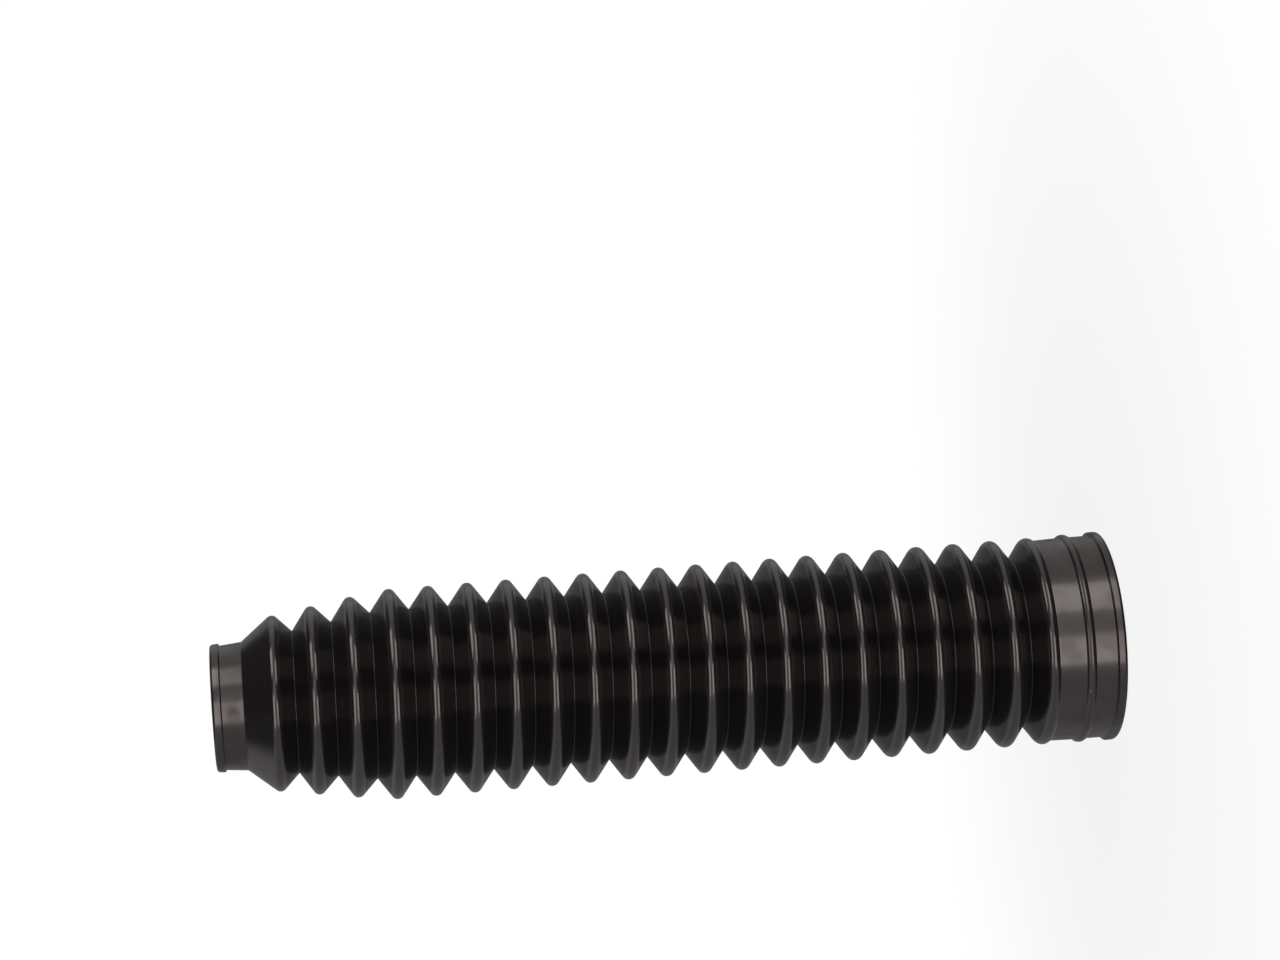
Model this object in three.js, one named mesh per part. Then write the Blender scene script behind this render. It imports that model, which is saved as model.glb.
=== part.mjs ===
// Rubber fork gaiter, moulded in one piece: a bellows with a wide cuff at one end and a narrow one at the
// other. It is turned from one closed section. Z runs up the axis, from the face of the wide end at z = 0.
import * as THREE from 'three';

// Bellows, in millimetres. Folds are counted from the narrow end.
const FOLDS = 21;
const PITCH = 11.35;
const CREST_DIAMETER = 62;
const VALLEY_DIAMETER = 49.6;
const CREST_TIP_RADIUS = 1.9;
const VALLEY_RADIUS = 0.4;
const WALL = 1.3;

// The first folds grow by even steps from these diameters, until they reach the full ones.
const FIRST_CREST_DIAMETER = 51.8;
const FIRST_VALLEY_DIAMETER = 42.3;
const CREST_STEP = 3.66;
const VALLEY_STEP = 3.55;

// Wide cuff. The last crest stands proud of it, and a rounded rib runs round it.
const LAST_CREST_PROUD = 0.7;
const WIDE_CUFF_LENGTH = 21.6;
const WIDE_CUFF_WALL = 2.3;
const RIB_WIDTH = 2.9;
const RIB_HEIGHT = 0.9;
const RIB_TO_LAST_CREST = 11;

// Narrow cuff. It widens a little towards its shoulder, where the cone to the first crest starts.
const NARROW_CUFF_DIAMETER = 36.6;
const SHOULDER_DIAMETER = 37.8;
const SHOULDER_LENGTH = 9.2;
const CONE_LENGTH = 9.2;
const NARROW_CUFF_WALL = 2.1;

// Bead round each mouth, with a rounded outer edge and a short slope down to the cuff.
const BEAD_WIDTH = 2.9;
const WIDE_BEAD_HEIGHT = 1;
const NARROW_BEAD_HEIGHT = 0.5;
const BEAD_EDGE_RADIUS = 0.7;
const BEAD_SLOPE_LENGTH = 0.4;
const MOUTH_CHAMFER = 0.3;

// How finely the round shapes are cut: flats round the axis, and chords along each arc of the section.
const FLATS = 28;
const CREST_CHORDS = 3;
const INNER_VALLEY_CHORDS = 2;
const RIB_CHORDS = 4;
const EDGE_CHORDS = 2;

// Places and sizes that follow from those above.
const firstCrestZ = WIDE_CUFF_LENGTH + (FOLDS - 1) * PITCH;
const shoulderZ = firstCrestZ + CONE_LENGTH;
const totalLength = shoulderZ + SHOULDER_LENGTH;
const wideCuffRadius = CREST_DIAMETER / 2 - LAST_CREST_PROUD;
const wideBoreRadius = wideCuffRadius - WIDE_CUFF_WALL;
const narrowCuffRadius = NARROW_CUFF_DIAMETER / 2;
const narrowBoreRadius = narrowCuffRadius - NARROW_CUFF_WALL;

// A point or direction in the section: x is the radius and y the height.
const point = (radius, height) => new THREE.Vector2(radius, height);

// How far a direction in the section leans from the radial one towards +Z.
const lean = (direction) => Math.atan2(direction.y, direction.x);

function arc(centre, radius, fromLean, toLean, chords) {
  return Array.from({ length: chords + 1 }, (_, i) => {
    const angle = fromLean + (toLean - fromLean) * (i / chords);
    return point(centre.x + radius * Math.cos(angle), centre.y + radius * Math.sin(angle));
  });
}

// The bends of the bellows wall, from the shoulder down to the last crest. A bend is a circle that the
// outside runs round. Its radius is positive on a crest, negative in a valley and zero at the shoulder.
function bellowsBends() {
  const bends = [{ centre: point(SHOULDER_DIAMETER / 2, shoulderZ), radius: 0 }];
  for (let fold = 0; fold < FOLDS; fold++) {
    const crest = Math.min(CREST_DIAMETER, FIRST_CREST_DIAMETER + CREST_STEP * fold) / 2;
    const valley = Math.min(VALLEY_DIAMETER, FIRST_VALLEY_DIAMETER + VALLEY_STEP * fold) / 2;
    const z = firstCrestZ - fold * PITCH;
    bends.push({ centre: point(crest - CREST_TIP_RADIUS, z), radius: CREST_TIP_RADIUS });
    bends.push({ centre: point(valley + VALLEY_RADIUS, z - PITCH / 2), radius: -VALLEY_RADIUS });
  }
  return bends.slice(0, -1);
}

// The outward normal of the straight flank that touches two neighbouring bends.
function flankNormal(upper, lower) {
  const along = lower.centre.clone().sub(upper.centre);
  const tilt = (upper.radius - lower.radius) / along.length();
  along.normalize();
  const across = point(-along.y, along.x);
  return along.multiplyScalar(tilt).add(across.multiplyScalar(Math.sqrt(1 - tilt * tilt)));
}

// The wall at a bend, at a depth below the outside: an arc, or a corner where no chords are asked for.
function roundBend(bend, before, after, depth, chords) {
  const radius = bend.radius - depth;
  if (chords > 0) return arc(bend.centre, radius, lean(before), lean(after), chords);
  const corner = before.clone().add(after).multiplyScalar(radius / (1 + before.dot(after)));
  return [corner.add(bend.centre)];
}

// Where the inner face of a flank reaches a bore.
function flankMeetsBore(bend, normal, boreRadius) {
  const onFlank = normal.clone().multiplyScalar(bend.radius - WALL).add(bend.centre);
  return point(boreRadius, onFlank.y - ((boreRadius - onFlank.x) * normal.x) / normal.y);
}

// The section's outline, down the outside of the gaiter and back up its inside.
function gaiterSection() {
  const bends = bellowsBends();
  const normals = bends.slice(1).map((bend, i) => flankNormal(bends[i], bend));
  const lastCrest = bends.at(-1);
  const folds = bends.slice(1, -1).map((bend, i) => {
    const isCrest = bend.radius > 0;
    return {
      outside: roundBend(bend, normals[i], normals[i + 1], 0, isCrest ? CREST_CHORDS : 0),
      inside: roundBend(bend, normals[i], normals[i + 1], WALL, isCrest ? 0 : INNER_VALLEY_CHORDS),
    };
  });

  const narrowBeadRadius = narrowCuffRadius + NARROW_BEAD_HEIGHT;
  const narrowBeadEdge = point(narrowBeadRadius - BEAD_EDGE_RADIUS, totalLength - BEAD_EDGE_RADIUS);
  const narrowCuff = [
    point(narrowBoreRadius, totalLength - MOUTH_CHAMFER),
    point(narrowBoreRadius + MOUTH_CHAMFER, totalLength),
    ...arc(narrowBeadEdge, BEAD_EDGE_RADIUS, Math.PI / 2, 0, EDGE_CHORDS),
    point(narrowBeadRadius, totalLength - BEAD_WIDTH + BEAD_SLOPE_LENGTH),
    point(narrowCuffRadius, totalLength - BEAD_WIDTH),
    bends[0].centre,
  ];

  const cuffLean = Math.acos((wideCuffRadius - lastCrest.centre.x) / CREST_TIP_RADIUS);
  const ribRadius = (RIB_WIDTH ** 2 / 4 + RIB_HEIGHT ** 2) / (2 * RIB_HEIGHT);
  const ribCentre = point(wideCuffRadius + RIB_HEIGHT - ribRadius, WIDE_CUFF_LENGTH - RIB_TO_LAST_CREST);
  const ribLean = Math.acos((wideCuffRadius - ribCentre.x) / ribRadius);
  const wideBeadRadius = wideCuffRadius + WIDE_BEAD_HEIGHT;
  const wideBeadEdge = point(wideBeadRadius - BEAD_EDGE_RADIUS, BEAD_EDGE_RADIUS);
  const wideCuff = [
    ...arc(lastCrest.centre, CREST_TIP_RADIUS, lean(normals.at(-1)), -cuffLean, CREST_CHORDS),
    ...arc(ribCentre, ribRadius, ribLean, -ribLean, RIB_CHORDS),
    point(wideCuffRadius, BEAD_WIDTH),
    point(wideBeadRadius, BEAD_WIDTH - BEAD_SLOPE_LENGTH),
    ...arc(wideBeadEdge, BEAD_EDGE_RADIUS, 0, -Math.PI / 2, EDGE_CHORDS),
    point(wideBoreRadius + MOUTH_CHAMFER, 0),
    point(wideBoreRadius, MOUTH_CHAMFER),
    flankMeetsBore(lastCrest, normals.at(-1), wideBoreRadius),
  ];

  const outside = folds.flatMap((fold) => fold.outside);
  const inside = folds.flatMap((fold) => fold.inside).reverse();
  const coneMeetsBore = flankMeetsBore(bends[1], normals[0], narrowBoreRadius);
  return [...narrowCuff, ...outside, ...wideCuff, ...inside, coneMeetsBore];
}

// A lathe turns its section about Y and wants the outside drawn upwards.
function turnedAboutZ(section) {
  const closed = [...section, section[0]].reverse();
  return new THREE.LatheGeometry(closed, FLATS).rotateX(Math.PI / 2);
}

const rubber = new THREE.MeshStandardMaterial({ color: 0x1c1b1b, roughness: 0.45, metalness: 0 });

const gaiter = new THREE.Mesh(turnedAboutZ(gaiterSection()), rubber);
gaiter.name = 'gaiter';

const forkGaiter = new THREE.Group();
forkGaiter.add(gaiter);

export default forkGaiter;
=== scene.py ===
# A rubber fork gaiter, standing upright on its wide end. All sizes are in metres and Z runs up its axis.
import math

import bpy
from mathutils import Matrix, Vector


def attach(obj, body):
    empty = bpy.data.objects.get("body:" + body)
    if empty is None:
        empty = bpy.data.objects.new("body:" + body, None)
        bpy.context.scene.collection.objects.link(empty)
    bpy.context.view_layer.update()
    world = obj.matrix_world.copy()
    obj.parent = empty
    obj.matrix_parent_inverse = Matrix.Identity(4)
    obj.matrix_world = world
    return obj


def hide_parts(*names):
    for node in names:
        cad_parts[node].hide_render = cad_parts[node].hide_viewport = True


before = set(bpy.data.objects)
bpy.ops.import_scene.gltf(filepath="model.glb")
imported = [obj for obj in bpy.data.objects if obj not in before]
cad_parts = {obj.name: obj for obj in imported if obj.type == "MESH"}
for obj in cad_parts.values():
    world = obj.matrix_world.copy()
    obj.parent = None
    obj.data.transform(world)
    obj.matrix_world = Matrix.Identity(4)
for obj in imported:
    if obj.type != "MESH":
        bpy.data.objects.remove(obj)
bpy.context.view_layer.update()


# Camera: it stands beside the upright gaiter and is rolled a quarter turn, so that the gaiter lies across
# the picture with its narrow end at the left. Its lens and place are fitted to the outline in the photo.
FILM_WIDTH_MM = 36.0
FOCAL_LENGTH_MM = 109.69
CAMERA_PLACE = (0.05732, -1.15303, 0.25346)
camera_data = bpy.data.cameras.new("camera")
camera_data.sensor_width = FILM_WIDTH_MM
camera_data.lens = FOCAL_LENGTH_MM
camera_data.clip_start = 0.05
camera_data.clip_end = 60.0
camera = bpy.data.objects.new("camera", camera_data)
bpy.context.scene.collection.objects.link(camera)
camera_right = Vector((-0.07700803, -0.10086784, -0.99191504)).normalized()
camera_up = Vector((0.99703047, -0.00779077, -0.07661293)).normalized()
camera_turn = Matrix((camera_right, camera_up, camera_right.cross(camera_up))).transposed().to_4x4()
camera.matrix_world = Matrix.Translation(CAMERA_PLACE) @ camera_turn
bpy.context.scene.camera = camera


# Gaiter: one piece of black rubber, moulded round a core and blown off it. It has twenty-one folds between
# a wide cuff, which is clamped over the lower leg of a fork, and a narrow cuff, which grips the fork tube.

# The folds, counted from the narrow end. The first ones grow by even steps until they reach the full size.
FOLDS = 21
PITCH = 0.01135
CREST_RADIUS = 0.031
VALLEY_RADIUS = 0.02466
TIP_BEND = 0.0019
VALLEY_BEND = 0.0002
WALL = 0.0013
FIRST_CREST_RADIUS = 0.0259
FIRST_VALLEY_RADIUS = 0.02101
CREST_GROWTH = 0.00183
VALLEY_GROWTH = 0.001775

# The wide cuff and its rib.
LAST_CREST_PROUD = 0.0007
WIDE_CUFF_LENGTH = 0.0216
WIDE_CUFF_RADIUS = CREST_RADIUS - LAST_CREST_PROUD
WIDE_CUFF_WALL = 0.0023
WIDE_BORE_RADIUS = WIDE_CUFF_RADIUS - WIDE_CUFF_WALL
RIB_HEIGHT = 0.0009
RIB_WIDTH = 0.0029
RIB_TO_LAST_CREST = 0.011

# The narrow cuff, and the cone from its shoulder to the first crest.
NARROW_CUFF_RADIUS = 0.0183
NARROW_CUFF_WALL = 0.0021
NARROW_BORE_RADIUS = NARROW_CUFF_RADIUS - NARROW_CUFF_WALL
SHOULDER_RADIUS = 0.0189
SHOULDER_LENGTH = 0.0092
CONE_LENGTH = 0.0092

# The bead round each mouth. The narrow one tapers from its inner end to the rim.
BEAD_WIDTH = 0.0029
WIDE_BEAD_HEIGHT = 0.001
NARROW_BEAD_HEIGHT = 0.0005
BEAD_EDGE = 0.001
BEAD_SLOPE = 0.0004
BEAD_TAPER = 0.00014
TAPER_START = math.radians(6)
MOUTH_CHAMFER = 0.0003

# How finely it is cut. A support is a point on a flat, this far from the end of an arc.
STEPS_ROUND = 128
OUTSIDE_BEND_POINTS = 11
INSIDE_BEND_POINTS = 5
RIB_STEPS = 10
EDGE_STEPS = 6
BEND_SUPPORT = 0.0003
EDGE_SUPPORT = 0.0002
SHARP_CORNER = math.radians(31)

# How far the soft rubber has moved from its moulded shape.
SAG = 0.0011
LEAN = 0.00117
TURN = 0.0006

first_crest_height = WIDE_CUFF_LENGTH + (FOLDS - 1) * PITCH
shoulder_height = first_crest_height + CONE_LENGTH
total_length = shoulder_height + SHOULDER_LENGTH
shoulder = Vector((SHOULDER_RADIUS, shoulder_height))
first_crest = Vector((FIRST_CREST_RADIUS - TIP_BEND, first_crest_height))
last_valley = Vector((VALLEY_RADIUS + VALLEY_BEND, WIDE_CUFF_LENGTH + PITCH / 2))
last_crest = Vector((CREST_RADIUS - TIP_BEND, WIDE_CUFF_LENGTH))
last_crest_lean = -math.acos((WIDE_CUFF_RADIUS - last_crest.x) / TIP_BEND)


def arc(centre, radius, from_lean, to_lean, steps):
    """Points of the section along an arc. A lean is the angle from straight out towards the narrow end."""
    leans = [from_lean + (to_lean - from_lean) * i / steps for i in range(steps + 1)]
    return [Vector((centre[0] + radius * math.cos(a), centre[1] + radius * math.sin(a))) for a in leans]


def flank_normal(upper, upper_bend, lower, lower_bend):
    """The outward normal of the straight wall that touches the two bends round these centres."""
    along = lower - upper
    tilt = (upper_bend - lower_bend) / along.length
    along.normalize()
    return along * tilt + Vector((-along.y, along.x)) * math.sqrt(1 - tilt * tilt)


def where_wall_meets_bore(centre, bend, normal, bore):
    """Where the inner face of a straight wall reaches a bore."""
    on_wall = centre + normal * (bend - WALL)
    return Vector((bore, on_wall.y - (bore - on_wall.x) * normal.x / normal.y))


# The sections of both cuffs, in the order in which they follow the outside down and the inside up.
narrow_bead_radius = NARROW_CUFF_RADIUS + NARROW_BEAD_HEIGHT
narrow_edge = (narrow_bead_radius - BEAD_EDGE, total_length - BEAD_EDGE)
narrow_cuff = [
    Vector((NARROW_BORE_RADIUS, total_length - MOUTH_CHAMFER)),
    Vector((NARROW_BORE_RADIUS + MOUTH_CHAMFER, total_length)),
    Vector((narrow_edge[0] - EDGE_SUPPORT, total_length)),
    *arc(narrow_edge, BEAD_EDGE, math.pi / 2, TAPER_START, EDGE_STEPS),
    Vector((narrow_bead_radius + BEAD_TAPER, total_length - BEAD_WIDTH + BEAD_SLOPE)),
    Vector((NARROW_CUFF_RADIUS, total_length - BEAD_WIDTH)),
    shoulder,
]
rib_bend = (RIB_WIDTH**2 / 4 + RIB_HEIGHT**2) / (2 * RIB_HEIGHT)
rib_centre = (WIDE_CUFF_RADIUS + RIB_HEIGHT - rib_bend, WIDE_CUFF_LENGTH - RIB_TO_LAST_CREST)
rib_lean = math.acos((WIDE_CUFF_RADIUS - rib_centre[0]) / rib_bend)
wide_bead_radius = WIDE_CUFF_RADIUS + WIDE_BEAD_HEIGHT
wide_edge = (wide_bead_radius - BEAD_EDGE, BEAD_EDGE)
last_normal = flank_normal(last_valley, -VALLEY_BEND, last_crest, TIP_BEND)
wide_cuff = [
    *arc(rib_centre, rib_bend, rib_lean, -rib_lean, RIB_STEPS),
    Vector((WIDE_CUFF_RADIUS, BEAD_WIDTH)),
    Vector((wide_bead_radius, BEAD_WIDTH - BEAD_SLOPE)),
    Vector((wide_bead_radius, BEAD_EDGE + EDGE_SUPPORT)),
    *arc(wide_edge, BEAD_EDGE, 0, -math.pi / 2, EDGE_STEPS),
    Vector((wide_edge[0] - EDGE_SUPPORT, 0)),
    Vector((WIDE_BORE_RADIUS + MOUTH_CHAMFER, 0)),
    Vector((WIDE_BORE_RADIUS, MOUTH_CHAMFER)),
    where_wall_meets_bore(last_crest, TIP_BEND, last_normal, WIDE_BORE_RADIUS),
]
cone_normal = flank_normal(shoulder, 0, first_crest, TIP_BEND)
cone_foot = [where_wall_meets_bore(first_crest, TIP_BEND, cone_normal, NARROW_BORE_RADIUS)]

# Every point of the section has an order. The folds' points get theirs in the tree below: those outside
# count on from the narrow cuff, and those inside count down from the last order before the cone's foot.
AFTER_NARROW_CUFF = 1000
AFTER_FOLDS_OUTSIDE = 2000
AFTER_FOLDS_INSIDE = 4000
ends = bpy.data.meshes.new("gaiter")
runs = [(narrow_cuff, 0), (wide_cuff, AFTER_FOLDS_OUTSIDE), (cone_foot, AFTER_FOLDS_INSIDE)]
ends.from_pydata([(p.x, p.y, 0.0) for run, _ in runs for p in run], [], [])
order = ends.attributes.new("order", "FLOAT", "POINT")
order.data.foreach_set("value", [float(first + i) for run, first in runs for i in range(len(run))])
gaiter = bpy.data.objects.new("gaiter_rubber", ends)
bpy.context.scene.collection.objects.link(gaiter)


class Wire:
    """An output socket of a node tree. Sums with it add Math nodes, and node() adds any other node."""

    def __init__(self, tree, socket=None):
        self.tree = tree
        self.socket = socket

    def node(self, kind, settings=None, inputs=None, output=0):
        """Inputs are values or wires for the node's sockets, by name or number."""
        made = self.tree.nodes.new(kind)
        for name, value in (settings or {}).items():
            setattr(made, name, value)
        for name, value in (inputs or {}).items():
            for one in value if isinstance(value, list) else [value]:
                if isinstance(one, Wire):
                    self.tree.links.new(one.socket, made.inputs[name])
                else:
                    made.inputs[name].default_value = one
        return Wire(self.tree, made.outputs[output] if made.outputs else None)

    def math(self, operation, *values):
        return self.node("ShaderNodeMath", {"operation": operation}, dict(enumerate(values)))

    def measure(self, operation, *vectors):
        """A number that Vector Math works out from vectors."""
        operands = dict(enumerate(vectors))
        return self.node("ShaderNodeVectorMath", {"operation": operation}, operands, "Value")

    def part(self, axis):
        """This vector's number along one axis."""
        return self.node("ShaderNodeSeparateXYZ", inputs={"Vector": self}, output=axis)

    def ramp(self, start, end, low=0.0, high=1.0, kind="SMOOTHSTEP"):
        """Goes from low to high as this value goes from start to end, and stays level beyond them."""
        limits = {"Value": self, "From Min": start, "From Max": end, "To Min": low, "To Max": high}
        return self.node("ShaderNodeMapRange", {"interpolation_type": kind}, limits)

    def __add__(self, other):
        return self.math("ADD", self, other)

    def __radd__(self, other):
        return self.math("ADD", other, self)

    def __sub__(self, other):
        return self.math("SUBTRACT", self, other)

    def __rsub__(self, other):
        return self.math("SUBTRACT", other, self)

    def __mul__(self, other):
        return self.math("MULTIPLY", self, other)

    def __rmul__(self, other):
        return self.math("MULTIPLY", other, self)

    def __truediv__(self, other):
        return self.math("DIVIDE", self, other)

    def __rtruediv__(self, other):
        return self.math("DIVIDE", other, self)

    def __lt__(self, other):
        return self.math("LESS_THAN", self, other)

    def __gt__(self, other):
        return self.math("GREATER_THAN", self, other)


turned = bpy.data.node_groups.new("turned gaiter", "GeometryNodeTree")
turned.interface.new_socket("Geometry", in_out="OUTPUT", socket_type="NodeSocketGeometry")
turned.interface.new_socket("Ends", in_out="INPUT", socket_type="NodeSocketGeometry")
gaiter_sizes = {
    "Folds": FOLDS,
    "Pitch": PITCH,
    "Crest Radius": CREST_RADIUS,
    "Valley Radius": VALLEY_RADIUS,
    "Tip Bend": TIP_BEND,
    "Valley Bend": VALLEY_BEND,
    "Wall": WALL,
    "First Crest Radius": FIRST_CREST_RADIUS,
    "First Valley Radius": FIRST_VALLEY_RADIUS,
    "Crest Growth": CREST_GROWTH,
    "Valley Growth": VALLEY_GROWTH,
    "First Crest Height": first_crest_height,
    "Last Crest Height": WIDE_CUFF_LENGTH,
    "Shoulder Radius": SHOULDER_RADIUS,
    "Shoulder Height": shoulder_height,
    "Last Crest Lean": last_crest_lean,
    "Sag": SAG,
    "Lean": LEAN,
    "Turn": TURN,
    "Steps Round": STEPS_ROUND,
}
for name, size in gaiter_sizes.items():
    kind = "NodeSocketInt" if isinstance(size, int) else "NodeSocketFloat"
    turned.interface.new_socket(name, in_out="INPUT", socket_type=kind)
turned.interface.new_socket("Material", in_out="INPUT", socket_type="NodeSocketMaterial")
given_node = turned.nodes.new("NodeGroupInput")
given = {socket.name: Wire(turned, socket) for socket in given_node.outputs if socket.name}
shape = Wire(turned)


def bend_at(step):
    """Centre and radius of the bend at this step down the bellows. Step -1 is the sharp shoulder.

    Even steps are crests and odd ones valleys, whose radius is negative. Steps are whole, so a limit
    between two of them is a half.
    """
    fold = shape.math("FLOOR", step / 2)
    in_valley = step - fold * 2
    at_shoulder = step < -0.5
    crest = given["First Crest Radius"] + given["Crest Growth"] * fold
    crest = shape.math("MINIMUM", crest, given["Crest Radius"])
    valley = given["First Valley Radius"] + given["Valley Growth"] * fold
    valley = shape.math("MINIMUM", valley, given["Valley Radius"])
    on_crest = crest - given["Tip Bend"]
    radius = on_crest + (valley + given["Valley Bend"] - on_crest) * in_valley
    height = given["First Crest Height"] - step * given["Pitch"] / 2
    bend = given["Tip Bend"] - (given["Tip Bend"] + given["Valley Bend"]) * in_valley
    radius = radius + (given["Shoulder Radius"] - radius) * at_shoulder
    height = height + (given["Shoulder Height"] - height) * at_shoulder
    return radius, height, bend * (1 - at_shoulder)


def wall_lean(upper, lower):
    """Which way the straight wall between two bends faces, as an angle from straight out."""
    along = [b - a for a, b in zip(upper[:2], lower[:2])]
    length = shape.math("SQRT", along[0] * along[0] + along[1] * along[1])
    down = shape.math("ARCTAN2", along[1], along[0])
    return down + shape.math("ARCCOSINE", (upper[2] - lower[2]) / length)


def with_value(points, name, value):
    """The points, each with a value of its own under this name."""
    return shape.node(
        "GeometryNodeStoreNamedAttribute",
        {"data_type": "FLOAT", "domain": "POINT"},
        {"Geometry": points, "Name": name, "Value": value},
    )


def wall_points(depth, points_each, support, bends, first_order, way):
    """Points round every bend, this deep below the outside. Way is 1 down the bellows and -1 up it.

    With a support, the first and last point of a bend slide out this far along the straight walls.
    """
    index = shape.node("GeometryNodeInputIndex")
    step = shape.math("FLOOR", (index + 0.5) / points_each)
    place = index - step * points_each
    here = bend_at(step)
    before = wall_lean(bend_at(step - 1), here)
    after = wall_lean(here, bend_at(step + 1))
    at_last = step > given["Folds"] * 2 - 2.5
    after = after + (given["Last Crest Lean"] - after) * at_last
    spare = 1 if support else 0
    lean = before + (after - before) * place.ramp(spare, points_each - 1 - spare, kind="LINEAR")
    slide = ((place > points_each - 1.5) - (place < 0.5)) * support
    out = here[0] + (here[2] - depth) * shape.math("COSINE", lean) + slide * shape.math("SINE", lean)
    up = here[1] + (here[2] - depth) * shape.math("SINE", lean) - slide * shape.math("COSINE", lean)
    where = shape.node("ShaderNodeCombineXYZ", inputs={"X": out, "Y": up})
    points = shape.node("GeometryNodePoints", inputs={"Count": bends * points_each, "Position": where})
    points = with_value(points, "valley", step - shape.math("FLOOR", step / 2) * 2)
    return with_value(points, "order", index * way + first_order)


outside_bends = given["Folds"] * 2 - 1
inside_bends = given["Folds"] * 2 - 2
outside = wall_points(0, OUTSIDE_BEND_POINTS, BEND_SUPPORT, outside_bends, AFTER_NARROW_CUFF, 1)
inside = wall_points(given["Wall"], INSIDE_BEND_POINTS, 0, inside_bends, AFTER_FOLDS_INSIDE - 1, -1)
both_ends = shape.node("GeometryNodeMeshToPoints", inputs={"Mesh": given["Ends"]})
section = shape.node("GeometryNodeJoinGeometry", inputs={"Geometry": [both_ends, outside, inside]})
along_section = shape.node("GeometryNodeInputNamedAttribute", {"data_type": "FLOAT"}, {"Name": "order"})
section = shape.node("GeometryNodePointsToCurves", inputs={"Points": section, "Weight": along_section})
section = shape.node("GeometryNodeSetSplineCyclic", inputs={"Geometry": section, "Cyclic": True})
round_sizes = {"Resolution": given["Steps Round"], "Radius": given["Crest Radius"]}
circle = shape.node("GeometryNodeCurvePrimitiveCircle", inputs=round_sizes)
circle = shape.node("GeometryNodeSetCurveNormal", {"mode": "Z_UP"}, {"Curve": circle})
to_circle = shape.node("ShaderNodeCombineXYZ", inputs={"X": given["Crest Radius"] * -1})
section = shape.node(
    "GeometryNodeTransform",
    inputs={"Geometry": section, "Translation": to_circle, "Rotation": (math.pi, 0.0, 0.0)},
)
skin = shape.node("GeometryNodeCurveToMesh", inputs={"Curve": circle, "Profile Curve": section})

# The rubber is soft, so the folds have sagged a little towards the wide end, most of all on the side that
# is uppermost in the picture, and the narrow end is turned a little. The wide cuff stays square.
spot = shape.node("GeometryNodeInputPosition")
to_top_side = spot.part("X") / given["Crest Radius"]
to_far_side = spot.part("Y") / given["Crest Radius"]
up_gaiter = spot.part("Z")


def along_folds(first_fold, last_fold):
    """How far up the bellows a point is, from 0 to 1, between two folds counted from the wide end."""
    start = given["Last Crest Height"] + given["Pitch"] * first_fold
    end = given["Last Crest Height"] + given["Pitch"] * last_fold
    return up_gaiter.ramp(start, end, kind="LINEAR")


sag_share = shape.math("SINE", along_folds(1.5, 21.0) * math.pi)
lean_share = shape.math("SINE", along_folds(0.0, 24.0) * math.pi)
turn_share = along_folds(14.0, 21.0)
lowered = given["Sag"] * sag_share * sag_share
lowered = lowered + given["Lean"] * lean_share * to_top_side
lowered = lowered + given["Turn"] * turn_share * turn_share * to_far_side
moved = shape.node("ShaderNodeCombineXYZ", inputs={"Z": lowered * -1})
skin = shape.node("GeometryNodeSetPosition", inputs={"Geometry": skin, "Offset": moved})
skin = shape.node("GeometryNodeSetShadeSmooth", {"domain": "FACE"}, {"Geometry": skin})
corners = shape.node("GeometryNodeInputMeshEdgeAngle") > SHARP_CORNER
sharp = {"Geometry": skin, "Selection": corners, "Shade Smooth": False}
skin = shape.node("GeometryNodeSetShadeSmooth", {"domain": "EDGE"}, sharp)
skin = shape.node("GeometryNodeRealizeInstances", inputs={"Geometry": skin})
skin = shape.node("GeometryNodeSetMaterial", inputs={"Geometry": skin, "Material": given["Material"]})
turned.links.new(skin.socket, turned.nodes.new("NodeGroupOutput").inputs["Geometry"])

# The rubber is almost black. Its skin has a fine grain and shallow waves, and is polished by the mould on
# the crests and cuffs but not in the valleys. It has cloudy patches, flecks of dust and marks of handling.
BLACK = (0.0045, 0.0041, 0.0040, 1.0)
HAZY_BLACK = (0.0070, 0.0064, 0.0063, 1.0)
CLOUDY_BROWN = (0.0120, 0.0082, 0.0078, 1.0)
DUST_GREY = (0.08, 0.075, 0.07, 1.0)
SMEAR_GREY = (0.07, 0.065, 0.063, 1.0)
SPECK_TAN = (0.16, 0.10, 0.06, 1.0)
GRAIN_DEPTH = 0.000010
WAVE_DEPTH = 0.000020
SWELL_DEPTH = 0.00012
FLECK_CELLS = 160.0
FLECK_SIZE = 0.03
CELLS_WITHOUT_FLECK = 0.72
WIDE_CUFF_TOP = 0.0196
NARROW_CUFF_FOOT = 0.2577
RUBBER_ROUGHNESS = 0.14
CUFFS_ROUGHER_BY = 0.11
POLISH_ROUGHNESS = 0.17
NO_POLISH_FROM = 0.12

rubber = bpy.data.materials.new("black moulded rubber")
rubber.use_nodes = True
rubber.node_tree.nodes.clear()
look = Wire(rubber.node_tree)
at = look.node("ShaderNodeTexCoord", output="Object")


def cloud(scale, detail=2.0):
    """Soft noise about a half, with features this many to the metre."""
    return look.node("ShaderNodeTexNoise", inputs={"Vector": at, "Scale": scale, "Detail": detail})


def mark(centre, radius, edge):
    """A round mask that is 1 at a place on the rubber and fades out at its edge."""
    return look.measure("DISTANCE", at, centre).ramp(radius - edge, radius, 1.0, 0.0)


def blend(factor, first, second):
    """The first colour where the factor is 0, and the second where it is 1."""
    return look.node("ShaderNodeMix", {"data_type": "RGBA"}, {0: factor, 6: first, 7: second}, output=2)


grain = cloud(1500.0, 3.0)
waves = cloud(330.0)
swell = cloud(70.0)
haze = cloud(45.0, 4.0)
patches = cloud(110.0, 4.0).ramp(0.35, 0.65)
relief = grain * GRAIN_DEPTH + waves * WAVE_DEPTH + swell * SWELL_DEPTH

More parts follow.
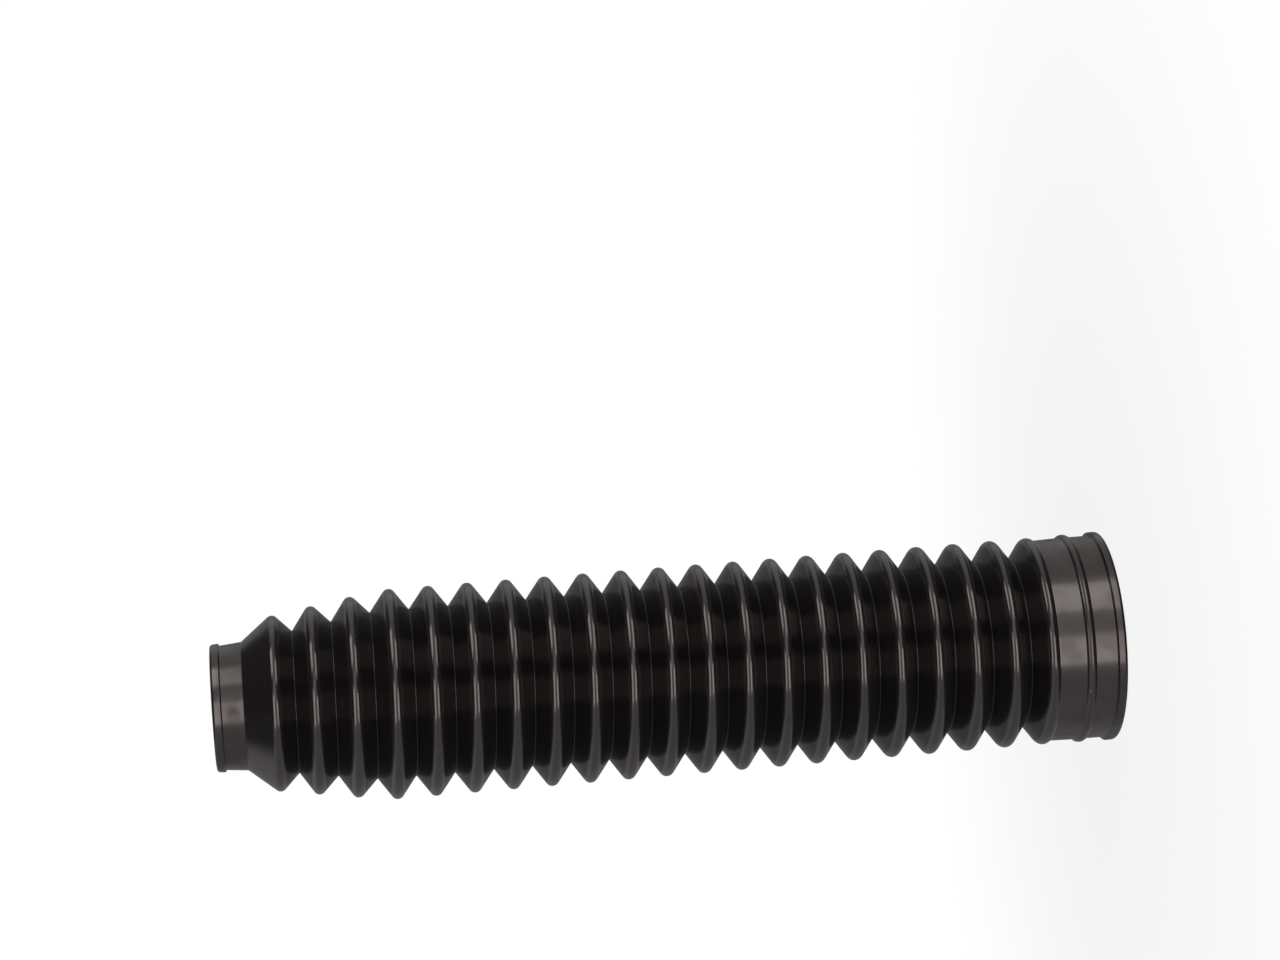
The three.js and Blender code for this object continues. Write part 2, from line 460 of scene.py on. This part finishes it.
cells = {"Vector": at, "Scale": FLECK_CELLS}
nearest = look.node("ShaderNodeTexVoronoi", inputs=cells, output="Distance")
lot = look.node("ShaderNodeTexVoronoi", inputs=cells, output="Color")
lot = look.node("ShaderNodeSeparateColor", inputs={"Color": lot})
fleck = (nearest < FLECK_SIZE) * (lot > CELLS_WITHOUT_FLECK)
smudge = mark((-0.0009, -0.0186, 0.2613), radius=0.0026, edge=0.0018)
smudge = smudge * (1 - mark((-0.0021, -0.0186, 0.2611), radius=0.0016, edge=0.0014))
smear = mark((-0.0024, -0.0187, 0.2587), radius=0.0013, edge=0.0009)
speck = mark((-0.01474, -0.0275, 0.0112), radius=0.00042, edge=0.00015)

# The skin carries a value that is 0 on the crests and cuffs and 1 in the valleys.
in_valley = look.node("ShaderNodeAttribute", {"attribute_name": "valley"}, output="Fac")
up_axis = at.part("Z")
on_cuffs = (up_axis < WIDE_CUFF_TOP) + (up_axis > NARROW_CUFF_FOOT)

colour = blend(haze, BLACK, HAZY_BLACK)
colour = blend(patches * on_cuffs, colour, CLOUDY_BROWN)
colour = blend(fleck * 0.5, colour, DUST_GREY)
colour = blend(smear * 0.35, colour, SMEAR_GREY)
colour = blend(speck, colour, SPECK_TAN)
roughness = RUBBER_ROUGHNESS + haze * 0.05 + on_cuffs * (CUFFS_ROUGHER_BY + patches * 0.06)
roughness = roughness + smudge * 0.1 + fleck * 0.3
polish = in_valley.ramp(0.0, NO_POLISH_FROM, 1.0, 0.0, kind="LINEAR")
polish = polish * (1 - patches * (0.12 + on_cuffs * 0.38)) * (1 - smudge * 0.5)
surface = look.node("ShaderNodeBump", inputs={"Strength": 1.0, "Distance": 1.0, "Height": relief})
shader = look.node(
    "ShaderNodeBsdfPrincipled",
    inputs={
        "Base Color": colour,
        "Roughness": roughness,
        "IOR": 1.5,
        "Coat Weight": polish,
        "Coat Roughness": POLISH_ROUGHNESS,
        "Normal": surface,
    },
)
look.node("ShaderNodeOutputMaterial", inputs={"Surface": shader})

turning = gaiter.modifiers.new("turn", "NODES")
turning.node_group = turned
for item in turned.interface.items_tree:
    if item.in_out == "INPUT" and item.name in gaiter_sizes:
        turning[item.identifier] = gaiter_sizes[item.name]
    if item.name == "Material":
        turning[item.identifier] = rubber
moulded = bpy.data.meshes.new_from_object(gaiter.evaluated_get(bpy.context.evaluated_depsgraph_get()))
gaiter.modifiers.remove(turning)
gaiter.data = moulded
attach(gaiter, "root")
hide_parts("gaiter")


# Floor: a plain white table top under the gaiter, which only the camera sees. Near the gaiter a little of
# it is lit and shaded, so the gaiter's own shadow shows, and its white glow fades there, a painted shade
# that greys the floor round the gaiter's foot. It stops and returns no light, so the room lights the
# gaiter from below too.
FLOOR_REACH = 8.0
FLOOR_HEIGHT = -0.0002
SHADE_START = 0.035
SHADE_END = 0.35
SHADED_WHITENESS = 0.86
floor_mesh = bpy.data.meshes.new("floor")
quarters = [(-1, -1), (1, -1), (1, 1), (-1, 1)]
floor_points = [(x * FLOOR_REACH, y * FLOOR_REACH, FLOOR_HEIGHT) for x, y in quarters]
floor_mesh.from_pydata(floor_points, [], [(0, 1, 2, 3)])
floor = bpy.data.objects.new("floor", floor_mesh)
bpy.context.scene.collection.objects.link(floor)
floor.visible_diffuse = False
floor.visible_glossy = False
floor.visible_transmission = False
floor.visible_shadow = False
white = bpy.data.materials.new("white table top")
white.use_nodes = True
white.node_tree.nodes.clear()
paint = Wire(white.node_tree)
seen = paint.node("ShaderNodeLightPath", output="Is Camera Ray")
from_gaiter = paint.measure("LENGTH", paint.node("ShaderNodeTexCoord", output="Object"))
# Painted shade: the glow's share falls to SHADED_WHITENESS near the gaiter, so the floor there is greyer
# even where no shadow falls.
painted_shade_whiteness = from_gaiter.ramp(SHADE_START, SHADE_END, SHADED_WHITENESS, 1.0)
lit = paint.node("ShaderNodeBsdfDiffuse", inputs={"Color": (0.9, 0.9, 0.9, 1.0)})
glow = paint.node("ShaderNodeEmission", inputs={"Color": (1.0, 1.0, 1.0, 1.0), "Strength": 1.0})
table_top = paint.node("ShaderNodeMixShader", inputs={0: seen * painted_shade_whiteness, 1: lit, 2: glow})
paint.node("ShaderNodeOutputMaterial", inputs={"Surface": table_top})
floor_mesh.materials.append(white)


# Lamps: four soft boxes, two in front and two overhead as the camera sees it, a pair on either side of the
# middle, so that each fold shows a pair of fine bright lines.
LAMP_DISTANCE = 0.7
LAMP_COLOUR = (1.0, 0.87, 0.83)
middle = Vector((0.0, 0.0, total_length / 2))


def soft_box(name, around, along, length, width, radiance):
    """A lamp this many degrees round the axis from the camera's side, and along towards the narrow end.

    Its length lies along the gaiter and its width across it.
    """
    around = math.radians(around)
    along = math.radians(along)
    sideways = math.cos(along)
    outward = Vector((math.sin(around) * sideways, -math.cos(around) * sideways, math.sin(along)))
    across = Vector((math.cos(around), math.sin(around), 0.0))
    data = bpy.data.lights.new(name, "AREA")
    data.shape = "RECTANGLE"
    data.size = length
    data.size_y = width
    data.energy = radiance * math.pi * length * width
    data.color = LAMP_COLOUR
    lamp = bpy.data.objects.new(name, data)
    bpy.context.scene.collection.objects.link(lamp)
    lamp.visible_camera = False
    lamp_turn = Matrix((across.cross(outward), across, outward)).transposed().to_4x4()
    lamp.matrix_world = Matrix.Translation(middle + outward * LAMP_DISTANCE) @ lamp_turn


soft_box("front box, narrow end", around=-7, along=31.5, length=0.31, width=0.47, radiance=2.4)
soft_box("front box, wide end", around=-11, along=-25, length=0.317, width=0.39, radiance=2.5)
soft_box("top box, narrow end", around=62, along=31.5, length=0.31, width=0.42, radiance=2.4)
soft_box("top box, wide end", around=49, along=-25, length=0.317, width=0.40, radiance=2.2)

# The room: white walls that the camera sees as plain white. The gaiter sees them brighter overhead than
# below, brightest between the front boxes and the top boxes, and dim past both of its ends.
OVERHEAD = (0.866, -0.5, 0.0)
BETWEEN_BOXES = (0.342, -0.94, 0.0)
BEHIND = (0.0, 1.0, 0.0)
PAST_NARROW_END = (0.0, 0.0, 1.0)
OVERHEAD_LEVEL = 0.52
room = bpy.data.worlds.new("room")
bpy.context.scene.world = room
room.use_nodes = True
room.node_tree.nodes.clear()
walls = Wire(room.node_tree)
toward = walls.node("ShaderNodeTexCoord", output="Generated")


def facing(direction):
    """How nearly a wall lies in this direction: 1 straight that way and -1 the opposite way."""
    return walls.measure("DOT_PRODUCT", toward, direction)


above = facing(OVERHEAD).ramp(-0.03, 0.03)
past_ends = walls.math("ABSOLUTE", facing(PAST_NARROW_END))
between = facing(BETWEEN_BOXES).ramp(0.93, 0.99, 0.0, 0.5)
upper = OVERHEAD_LEVEL + between - facing(BEHIND).ramp(0.3, 1.0) * 0.2
upper = upper * past_ends.ramp(0.2, 0.6, 1.0, 0.12)
lower = facing(BEHIND).ramp(-0.6, 1.3, 0.45, 0.15) * past_ends.ramp(0.72, 0.88, 1.0, 0.15)
lower = lower * facing(PAST_NARROW_END).ramp(0.3, 0.7, 1.0, 1.4)
level = lower + (upper - lower) * above
camera_ray = walls.node("ShaderNodeLightPath", output="Is Camera Ray")
plain = walls.node("ShaderNodeBackground", inputs={"Color": (1.0, 1.0, 1.0, 1.0), "Strength": 1.0})
glowing = walls.node("ShaderNodeBackground", inputs={"Color": (1.0, 0.95, 0.94, 1.0), "Strength": level})
backdrop = walls.node("ShaderNodeMixShader", inputs={0: camera_ray, 1: glowing, 2: plain})
walls.node("ShaderNodeOutputWorld", inputs={"Surface": backdrop})
bpy.context.scene.view_settings.view_transform = "Standard"
